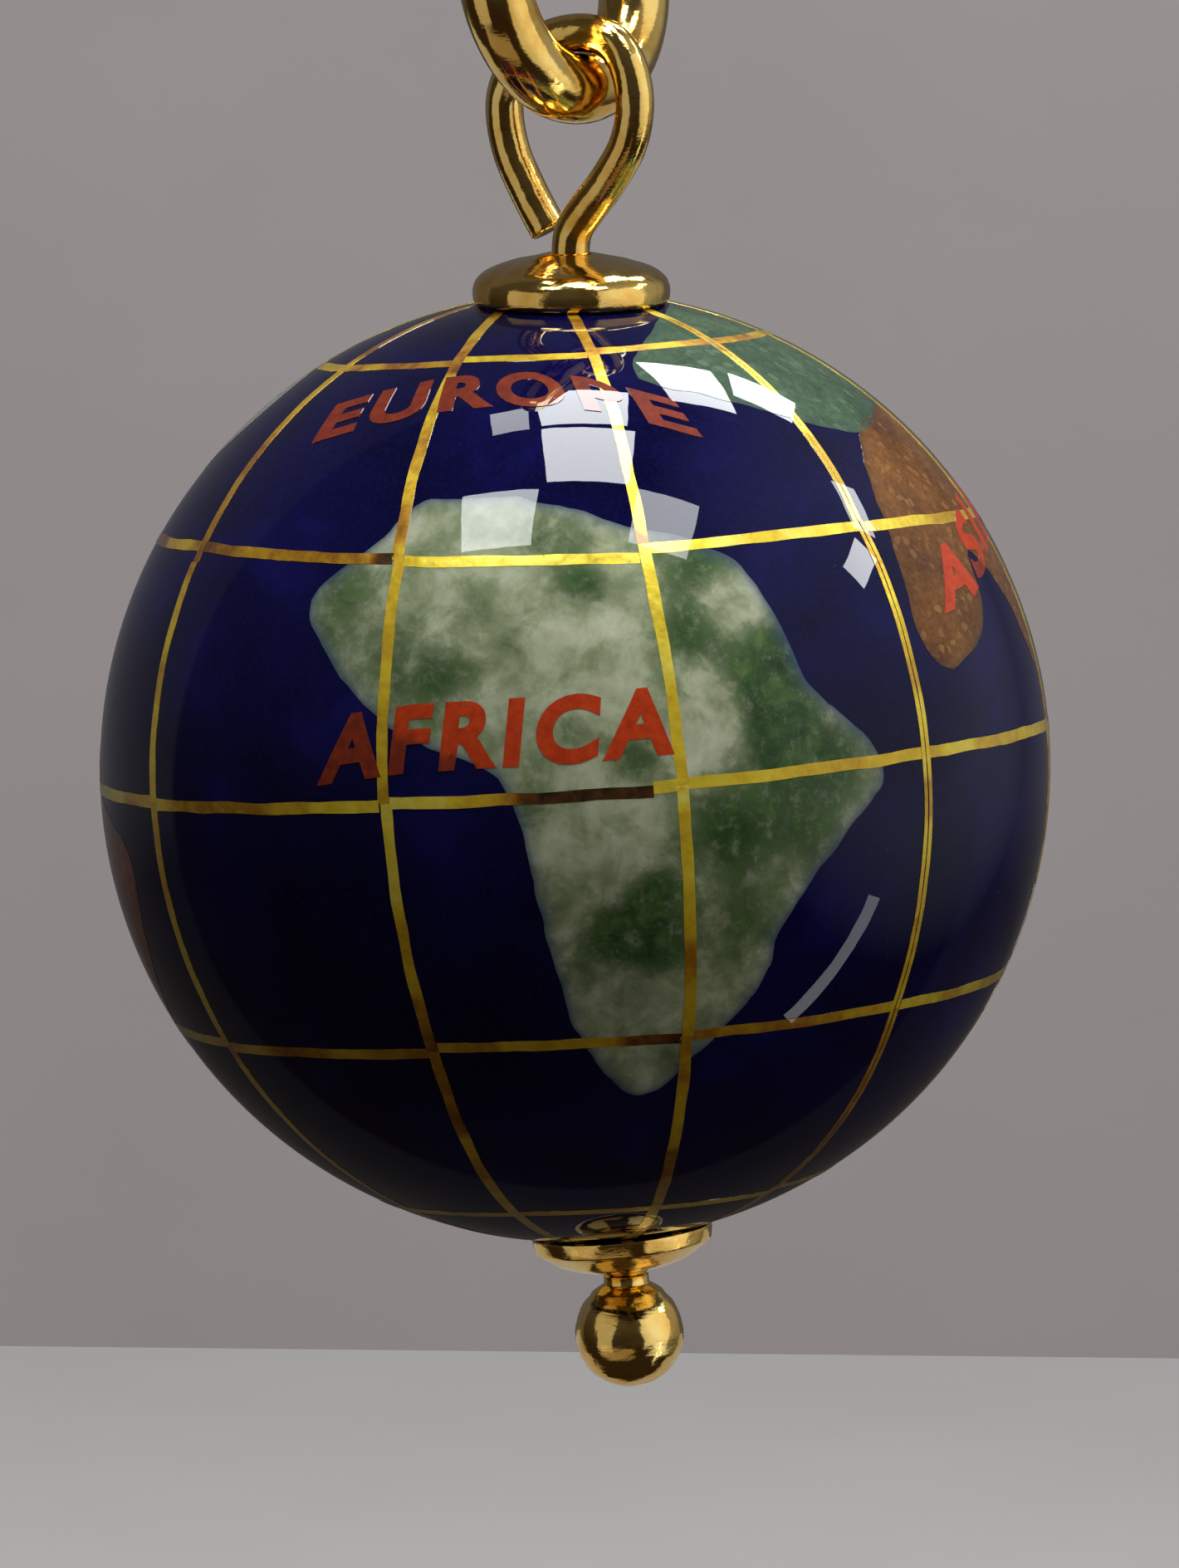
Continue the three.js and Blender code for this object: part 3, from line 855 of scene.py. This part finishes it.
def parallel(name, latitude, rng):
    """A strip round the ball, in lengths from one meridian to the next."""
    verts, faces, shades = [], [], []
    count = len(MERIDIANS)
    shortening = math.cos(math.radians(latitude))
    nearest = min(range(len(CROSSINGS)), key=lambda k: abs(CROSSINGS[k] - latitude))
    gap = math.degrees(STRIP_WIDTH * 0.5 / GLOBE_RADIUS / shortening)
    for i in range(count):
        west, east = MERIDIANS[i], MERIDIANS[(i + 1) % count] + (360 if i == count - 1 else 0)
        west += MERIDIAN_BENDS.get(i, STRAIGHT)[nearest]
        east += MERIDIAN_BENDS.get((i + 1) % count, STRAIGHT)[nearest]
        west += -EQUATOR_SPLICE if (name, i) == ("parallel_equator", 5) else gap
        east -= EQUATOR_SPLICE if (name, i) == ("parallel_equator", 4) else gap
        anywhere = latitude + rng.uniform(-PARALLEL_WANDER, PARALLEL_WANDER)
        low, high = PARALLEL_STEPS.get((name, i), (anywhere, anywhere))
        steps = max(6, round((east - west) * shortening / STRIP_STEP))
        rays = []
        for k in range(steps + 1):
            t = k / steps
            rays.append(on_map(low + (high - low) * t, west + (east - west) * t))
        shade = broken_shade(rng, FOIL_TONES_AND_PAINTED_LIGHT.get((name, i), PLAIN_TONE))
        if (name, i) == ("parallel_equator", 4):
            shade = blackened(shade)
        foil(rays, STRIP_WIDTH, verts, faces, shades, shade)
    foil_name = name.replace("parallel", "parallel_foil")
    obj = piece(foil_name, verts, faces, map_frame, "globe", "strip_metal", [name], strips,
                {"shade": shades})
    round_like_the_ball(obj)


def flat_word(name, word):
    """A word in plain letters as a flat mesh, cut small enough to bend, and its extent."""
    curve = bpy.data.curves.new(name, "FONT")
    curve.body = word
    curve.size = 1.0
    curve.offset = 0.04
    curve.space_character = 1.22
    curve.resolution_u = 6
    text = bpy.data.objects.new(name + "_text", curve)
    scene_objects.link(text)
    bpy.context.view_layer.update()
    flat = bpy.data.meshes.new_from_object(text.evaluated_get(bpy.context.evaluated_depsgraph_get()))
    bpy.data.objects.remove(text)
    bm = bmesh.new()
    bm.from_mesh(flat)
    bpy.data.meshes.remove(flat)
    bmesh.ops.remove_doubles(bm, verts=bm.verts, dist=1e-5)
    xs = [v.co.x for v in bm.verts]
    ys = [v.co.y for v in bm.verts]
    left, right, foot, head = min(xs), max(xs), min(ys), max(ys)
    for axis, start, end in ((Vector((1, 0, 0)), left, right), (Vector((0, 1, 0)), foot, head)):
        for k in range(1, int((end - start) / LABEL_PITCH)):
            geometry = [*bm.verts, *bm.edges, *bm.faces]
            cut = axis * (start + k * LABEL_PITCH)
            bmesh.ops.bisect_plane(bm, geom=geometry, dist=1e-5, plane_co=cut, plane_no=axis)
    bm.verts.index_update()
    return bm, left, right, foot, head


def label(name, word, baseline, height, slant, stone):
    """A plain word laid along a baseline on the ball."""
    bm, left, right, foot, head = flat_word(name, word)
    latitudes, longitudes = np.array(baseline).T
    rays = []
    for vert in bm.verts:
        across = (vert.co.x - left) / (right - left)
        rise = (vert.co.y - foot) / (head - foot)
        longitude = longitudes[0] + across * (longitudes[-1] - longitudes[0])
        base = np.interp(longitude, longitudes, latitudes)
        rays.append(on_map(base + rise * height, longitude + slant * rise))
    loops = [[v.index for v in face.verts] for face in bm.faces]
    if sum(face.normal.z for face in bm.faces) < 0:
        loops = [loop[::-1] for loop in loops]
    bm.free()
    verts, faces = slab(rays, loops, LABEL_TOP, LABEL_TOP - LABEL_THICKNESS)
    to_flat, _ = flattened(stone)
    coast = [tuple(c) for c in coast_of(stone, to_flat)]
    over = [1.0 if inside(coast, to_flat(ray)) else 0.0 for ray in rays]
    obj = piece(name, verts, faces, map_frame, "globe", "label_ink", [], ink, {"over_stone": over * 2})
    round_like_the_ball(obj)


ink = label_ink()
ocean()
for land_name in COASTLINES:
    land(land_name)
foil_rng = random.Random(7)
for meridian_index in range(len(MERIDIANS)):
    meridian(meridian_index, foil_rng)
for parallel_name, parallel_latitude in PARALLELS.items():
    parallel(parallel_name, parallel_latitude, foil_rng)
for label_name, (word, baseline, height, slant, stone) in LABELS.items():
    label(label_name, word, baseline, height, slant, stone)
core = frame["nodes"]["globe_core"]
core.data.materials.clear()
core.data.materials.append(core_filler())


# -------------------------------- fittings

def link():
    """The chain link, an oval of thick wire."""
    bow = (LINK_INNER_WIDTH + 2 * LINK_WIRE_RADIUS) / 2
    upper, lower = -LINK_INNER_WIDTH / 2, LINK_INNER_WIDTH / 2 - LINK_INNER_LENGTH
    points = []
    bow_steps, side_steps = 44, 22
    for k in range(bow_steps):
        angle = math.pi * k / bow_steps
        points.append((0, bow * math.cos(angle), upper + bow * math.sin(angle)))
    for k in range(side_steps):
        points.append((0, -bow, upper + (lower - upper) * k / side_steps))
    for k in range(bow_steps):
        angle = math.pi * (1 + k / bow_steps)
        points.append((0, bow * math.cos(angle), lower + bow * math.sin(angle)))
    for k in range(side_steps):
        points.append((0, bow, lower + (upper - lower) * k / side_steps))
    radii = [LINK_WIRE_RADIUS * (1 + 0.012 * noise.noise(Vector(p) * 0.8)) for p in points]
    verts, faces = swept(points, radii, 40, closed=True)
    return piece("link_wire", verts, faces, link_frame, "link", "gold_plate", ["chain_link"], gold)


def ball_and_shank():
    """Points and radii of the pin's wire from its ball end up to where the eye starts."""
    drop = -BALL_END_DROP
    points, radii = [], []
    neck_angle = math.asin(NECK_RADIUS / BALL_END_RADIUS)
    ball_steps, shank_steps = 40, 31
    for k in range(ball_steps + 1):
        angle = (math.pi - neck_angle) * k / ball_steps
        points.append((0, 0, drop - BALL_END_RADIUS * math.cos(angle)))
        radii.append(BALL_END_RADIUS * math.sin(angle))
    radii[0] = 0
    throat = points[-1][2]
    neck_top = drop + NECK_HEIGHT
    shank_foot = neck_top + 0.05
    for height, radius in ((throat + 0.05, NECK_RADIUS * 0.97), (neck_top - 0.03, NECK_RADIUS * 0.96),
                           (neck_top, NECK_RADIUS * 0.88), (shank_foot, PIN_WIRE_RADIUS)):
        points.append((0, 0, height))
        radii.append(radius)
    for k in range(1, shank_steps):
        points.append((0, 0, shank_foot + (EYE_FOOT - shank_foot) * k / shank_steps))
        radii.append(PIN_WIRE_RADIUS)
    return points, radii


def eye_route():
    """The eye's middle line, over the link's lower bow and down to the wire's cut end."""
    crown = BEARING_HEIGHT + LINK_WIRE_RADIUS + PIN_WIRE_RADIUS + FIT_GAP
    return smooth_line([
        (0, 0, EYE_FOOT), (0, 0, 13.5), (0.14, 0, 14.15), (0.6, 0, 14.7), (1.28, 0, 15.4),
        (1.97, 0, 16.3), (2.28, 0, 17.2), (2.27, 0, 18.0), (2.03, 0, 18.65), (1.55, 0, 19.12),
        (CROWN_OFFSET, 0, crown), (-0.45, 0, 19.08), (-1.35, 0, 18.45), (-1.82, 0.05, 17.75),
        (-1.93, 0.1, 17.0), (-1.82, 0.2, 16.1), (-1.5, 0.3, 15.25), (-1.22, 0.4, 14.6),
        (-0.96, 0.45, 14.1),
    ], 0.12)


def dented(v):
    """A point of the pin, moved in or out a little if it is on the ball end."""
    from_ball = v + Vector((0, 0, BALL_END_DROP))
    if from_ball.length < BALL_END_RADIUS + 0.05 and from_ball.z < 1.1:
        dent = noise.noise(v * 1.6) * 0.035 + noise.noise(v * 4.2 + Vector((3, 1, 7))) * 0.026
        return v + from_ball.normalized() * (dent - 0.02)
    return v


def eye_pin():
    """One wire from its ball end through the globe to the eye's cut end."""
    points, radii = ball_and_shank()
    route = eye_route()
    for here in route[:-1]:
        points.append(tuple(here))
        radii.append(PIN_WIRE_RADIUS)
    tip, before = route[-1], route[-2]
    onward = (tip - before).normalized()
    for reach, radius in ((-0.03, 0.5), (0.0, 0.455), (0.004, 0.30), (0.005, 0.0)):
        points.append(tuple(tip + onward * reach))
        radii.append(radius)
    verts, faces = swept(points, radii, 36)
    verts = [dented(v) for v in verts]
    return piece("eye_pin", verts, faces, pin_frame, "pin", "gold_plate", ["head_pin"], worn_gold)


def globe_height(distance):
    """How high the ball is at a distance from its axis."""
    return math.sqrt(GLOBE_RADIUS**2 - distance**2)


def cap(name, outside, inside_corners):
    """A cap turned round its own axis, smooth outside, from its rim to its hole and back."""
    place = frame_along(ball_middle, cap_axis[name])
    smooth = [tuple(p) for p in smooth_line(outside, 0.05)]
    profile = smooth + inside_corners
    if name == "bottom_cap":
        profile.reverse()  # or else its faces would look inwards
    verts, faces = turned(profile, 120)
    uneven = []
    for v in verts:
        v = Vector(v)
        out = Vector((v.x, v.y, 0)).normalized() * 0.02
        lift = Vector((0, 0, 0.012))
        uneven.append(v + out * noise.noise(v * 0.7) + lift * noise.noise(v * 1.9))
    return piece(name + "_shell", uneven, faces, place, name, "gold_plate", [name], worn_gold)


def caps():
    """The cap above the ball, domed, and the one below it, with a step under its rim."""
    rim = 2.575
    seat = globe_height(rim) + 2 * FIT_GAP
    upper = cap("top_cap", [
        (rim - 0.13, seat), (rim - 0.03, seat + 0.08), (rim, seat + 0.24), (rim - 0.01, seat + 0.44),
        (rim - 0.12, seat + 0.68), (rim - 0.42, seat + 0.90), (1.6, seat + 1.09), (1.05, seat + 1.21),
        (CAP_HOLE_RADIUS + 0.06, seat + 1.3), (CAP_HOLE_RADIUS, seat + 1.25),
    ], [(CAP_HOLE_RADIUS, seat + 0.98), (1.4, seat + 0.8), (rim - 0.38, seat + 0.26)])
    rim = 2.4
    seat = globe_height(rim) + 2 * FIT_GAP
    lower = cap("bottom_cap", [
        (rim - 0.08, -seat), (rim - 0.01, -seat - 0.04), (rim, -seat - 0.12), (rim - 0.05, -seat - 0.42),
        (rim - 0.09, -seat - 0.47), (rim - 0.26, -seat - 0.60), (1.7, -seat - 0.88), (1.1, -seat - 1.06),
        (CAP_HOLE_RADIUS + 0.06, -seat - 1.14), (CAP_HOLE_RADIUS, -seat - 1.09),
    ], [(CAP_HOLE_RADIUS, -seat - 0.8), (1.5, -seat - 0.55), (rim - 0.22, -seat - 0.1)])
    return upper, lower


fittings = bpy.data.collections.new("fittings")
for fitting in (link(), eye_pin(), *caps()):
    fittings.objects.link(fitting)


# -------------------------------- stage, light and camera

CAMERA_AZIMUTH = 35
CAMERA_ELEVATION = 10.5
CAMERA_ROLL = 0.6
CAMERA_DISTANCE = 250
CAMERA_LENS = 218.25
AIM_RIGHT = 0.38
AIM_UP = -0.45


def towards(azimuth, elevation):
    """The unit direction of an azimuth and an elevation, with azimuth 0 towards -Y."""
    a, e = math.radians(azimuth), math.radians(elevation)
    return Vector((math.sin(a) * math.cos(e), -math.cos(a) * math.cos(e), math.sin(e)))


def camera():
    """The camera, aimed a little beside and below the ball's middle."""
    back = towards(CAMERA_AZIMUTH, CAMERA_ELEVATION)
    a, roll = math.radians(CAMERA_AZIMUTH), math.radians(CAMERA_ROLL)
    right = Vector((math.cos(a), math.sin(a), 0))
    up = back.cross(right)
    aim = ball_middle + right * AIM_RIGHT + up * AIM_UP
    side = right * math.cos(roll) + up * math.sin(roll)
    data = bpy.data.cameras.new("camera")
    data.lens = CAMERA_LENS
    data.sensor_width = 36
    data.clip_start, data.clip_end = 0.01, 20
    obj = bpy.data.objects.new("camera", data)
    turn = Matrix((side, back.cross(side), back)).transposed().to_4x4()
    obj.matrix_world = Matrix.Translation((aim + back * CAMERA_DISTANCE) * MM) @ turn
    scene_objects.link(obj)
    bpy.context.scene.camera = obj


def light(name, azimuth, elevation, width, height, roll, radiance, colour=(1, 1, 1), distance=0.58):
    """A rectangle seen from the ball in a direction, its width and height as shares of the distance."""
    out = towards(azimuth, elevation)
    a = math.radians(azimuth)
    side = Quaternion(out, math.radians(roll)) @ Vector((math.cos(a), math.sin(a), 0))
    data = bpy.data.lights.new(name, "AREA")
    data.shape = "RECTANGLE"
    data.size, data.size_y = width * distance, height * distance
    data.energy = radiance * math.pi * data.size * data.size_y
    data.color = colour
    obj = bpy.data.objects.new(name, data)
    turn = Matrix((side, out.cross(side), out)).transposed().to_4x4()
    obj.matrix_world = Matrix.Translation(ball_middle * MM + out * distance) @ turn
    obj.visible_camera = False
    scene_objects.link(obj)
    return obj


PANE = (0.95, 0.98, 1.0)
ROOM = (1.0, 0.98, 0.95)
BROWN = (1.0, 0.78, 0.55)
# Bright panes that the ball mirrors: azimuth, elevation, width, height, roll, radiance and colour
LIGHTS = [
    ("ceiling_a", -147, 74, 0.25, 0.21, -175, 17, PANE),
    ("ceiling_b", 136, 88.2, 0.28, 0.295, -100, 17, PANE),
    ("ceiling_c", -10, 67, 0.26, 0.27, 35, 13, PANE),
    ("ceiling_d", 82, 66, 0.22, 0.27, -48, 10, PANE),
    ("ceiling_e", -172, 55, 0.18, 0.25, -128, 15, PANE),
    ("ceiling_f", -178, 44, 0.15, 0.16, -134, 13, PANE),
    ("ceiling_g", -103, 73, 0.11, 0.13, 137, 8, PANE),
    ("ceiling_h", 151, 38, 0.09, 0.17, -65, 10, PANE),
    ("ceiling_i", 135, 35, 0.09, 0.17, -88, 13, PANE),
    ("streak", 111, -34, 0.065, 0.47, -14, 2.3, PANE),
]
# Lights that fall on the metal fittings alone, the last two from close below them
FITTING_LIGHTS = [
    ("fittings_right", 98, 8, 1.25, 1.5, 0, 0.60, ROOM),
    ("fittings_left", -22, 2, 0.85, 1.3, 0, 0.38, ROOM),
    ("fittings_low", 5, -42, 1.3, 0.4, 0, 0.24, BROWN, 0.15),
    ("fittings_back", -145, -45, 2.4, 0.9, 0, 0.34, ROOM, 0.15),
]
# Fills that light everything without a reflection of their own
FILLS = [
    ("fill_front", 25, -8, 0.9, 0.9, 0, 0.38, ROOM),
    ("fill_right", 105, 28, 0.9, 0.9, 0, 1.2, ROOM),
]


def lights():
    """All the lights, in the three groups above."""
    for settings in LIGHTS:
        light(*settings)
    for settings in FILLS:
        light(*settings).visible_glossy = False
    for settings in FITTING_LIGHTS:
        light(*settings).light_linking.receiver_collection = fittings


def plane(name, place, width, height, colour):
    """A flat piece of the stage that the camera sees, and that nothing mirrors."""
    mesh = bpy.data.meshes.new(name)
    w, h = width / 2, height / 2
    mesh.from_pydata([(-w, -h, 0), (w, -h, 0), (w, h, 0), (-w, h, 0)], [], [(0, 1, 2, 3)])
    s = Shader(name, roughness=0.9, specular_ior_level=0.1)
    tone = s.noise(0.02, 5, 0.6)
    s.set("Base Color", s.ramp(tone, [(0.3, tuple(c * 0.94 for c in colour)), (0.7, colour)]))
    mesh.materials.append(s.material)
    obj = bpy.data.objects.new(name, mesh)
    obj.matrix_world = place
    scene_objects.link(obj)
    obj.visible_glossy = False  # the ball mirrors the room, and not the floor and wall behind it
    obj.visible_diffuse = False


def stage():
    """A pale floor below the charm and a plain wall behind it."""
    floor_drop, wall_gap = 0.1695, 0.62
    back = towards(CAMERA_AZIMUTH, 0)
    floor_point = ball_middle * MM - Vector((0, 0, floor_drop))
    plane("floor", Matrix.Translation(floor_point), 6, 6, (0.74, 0.71, 0.68))
    side = Vector((0, 0, 1)).cross(back)
    turn = Matrix((side, Vector((0, 0, 1)), back)).transposed().to_4x4()
    plane("wall", Matrix.Translation(floor_point - back * wall_gap + Vector((0, 0, 1.0))) @ turn, 6, 2,
          (0.63, 0.575, 0.565))


def world():
    """A dim room, with the pale surroundings behind the object showing round the ball's rim."""
    made = bpy.data.worlds.new("room")
    made.use_nodes = True
    tree = made.node_tree
    ground = tree.nodes["Background"]
    place = tree.nodes.new("ShaderNodeTexCoord")

    def mixed(share, below, above):
        mix = tree.nodes.new("ShaderNodeMix")
        mix.data_type = "RGBA"
        for value, target in ((share, mix.inputs[0]), (below, mix.inputs[6]), (above, mix.inputs[7])):
            feed(tree, value, target)
        return mix.outputs[2]

    def lobe(azimuth, elevation, outer, inner):
        dot = tree.nodes.new("ShaderNodeVectorMath")
        dot.operation = "DOT_PRODUCT"
        dot.inputs[1].default_value = towards(azimuth, elevation)
        tree.links.new(place.outputs["Generated"], dot.inputs[0])
        share = tree.nodes.new("ShaderNodeMapRange")
        share.inputs["From Min"].default_value = math.cos(math.radians(outer))
        share.inputs["From Max"].default_value = math.cos(math.radians(inner))
        tree.links.new(dot.outputs["Value"], share.inputs["Value"])
        return share.outputs[0]

    colour = mixed(lobe(0, 90, 110, 60), (0.024, 0.016, 0.011), (0.060, 0.057, 0.058))
    behind = mixed(lobe(0, -90, 80, 72), (0.105, 0.100, 0.105), (0.045, 0.040, 0.036))
    colour = mixed(lobe(-145, 0, 68.5, 66.5), colour, behind)
    colour = mixed(lobe(125, 22, 55, 32), colour, (0.34, 0.34, 0.34))
    seen = tree.nodes.new("ShaderNodeLightPath")
    colour = mixed(seen.outputs["Is Camera Ray"], colour, (0.30, 0.28, 0.275))
    tree.links.new(colour, ground.inputs["Color"])
    bpy.context.scene.world = made


camera()
lights()
stage()
world()
bpy.context.scene.view_settings.view_transform = "Standard"
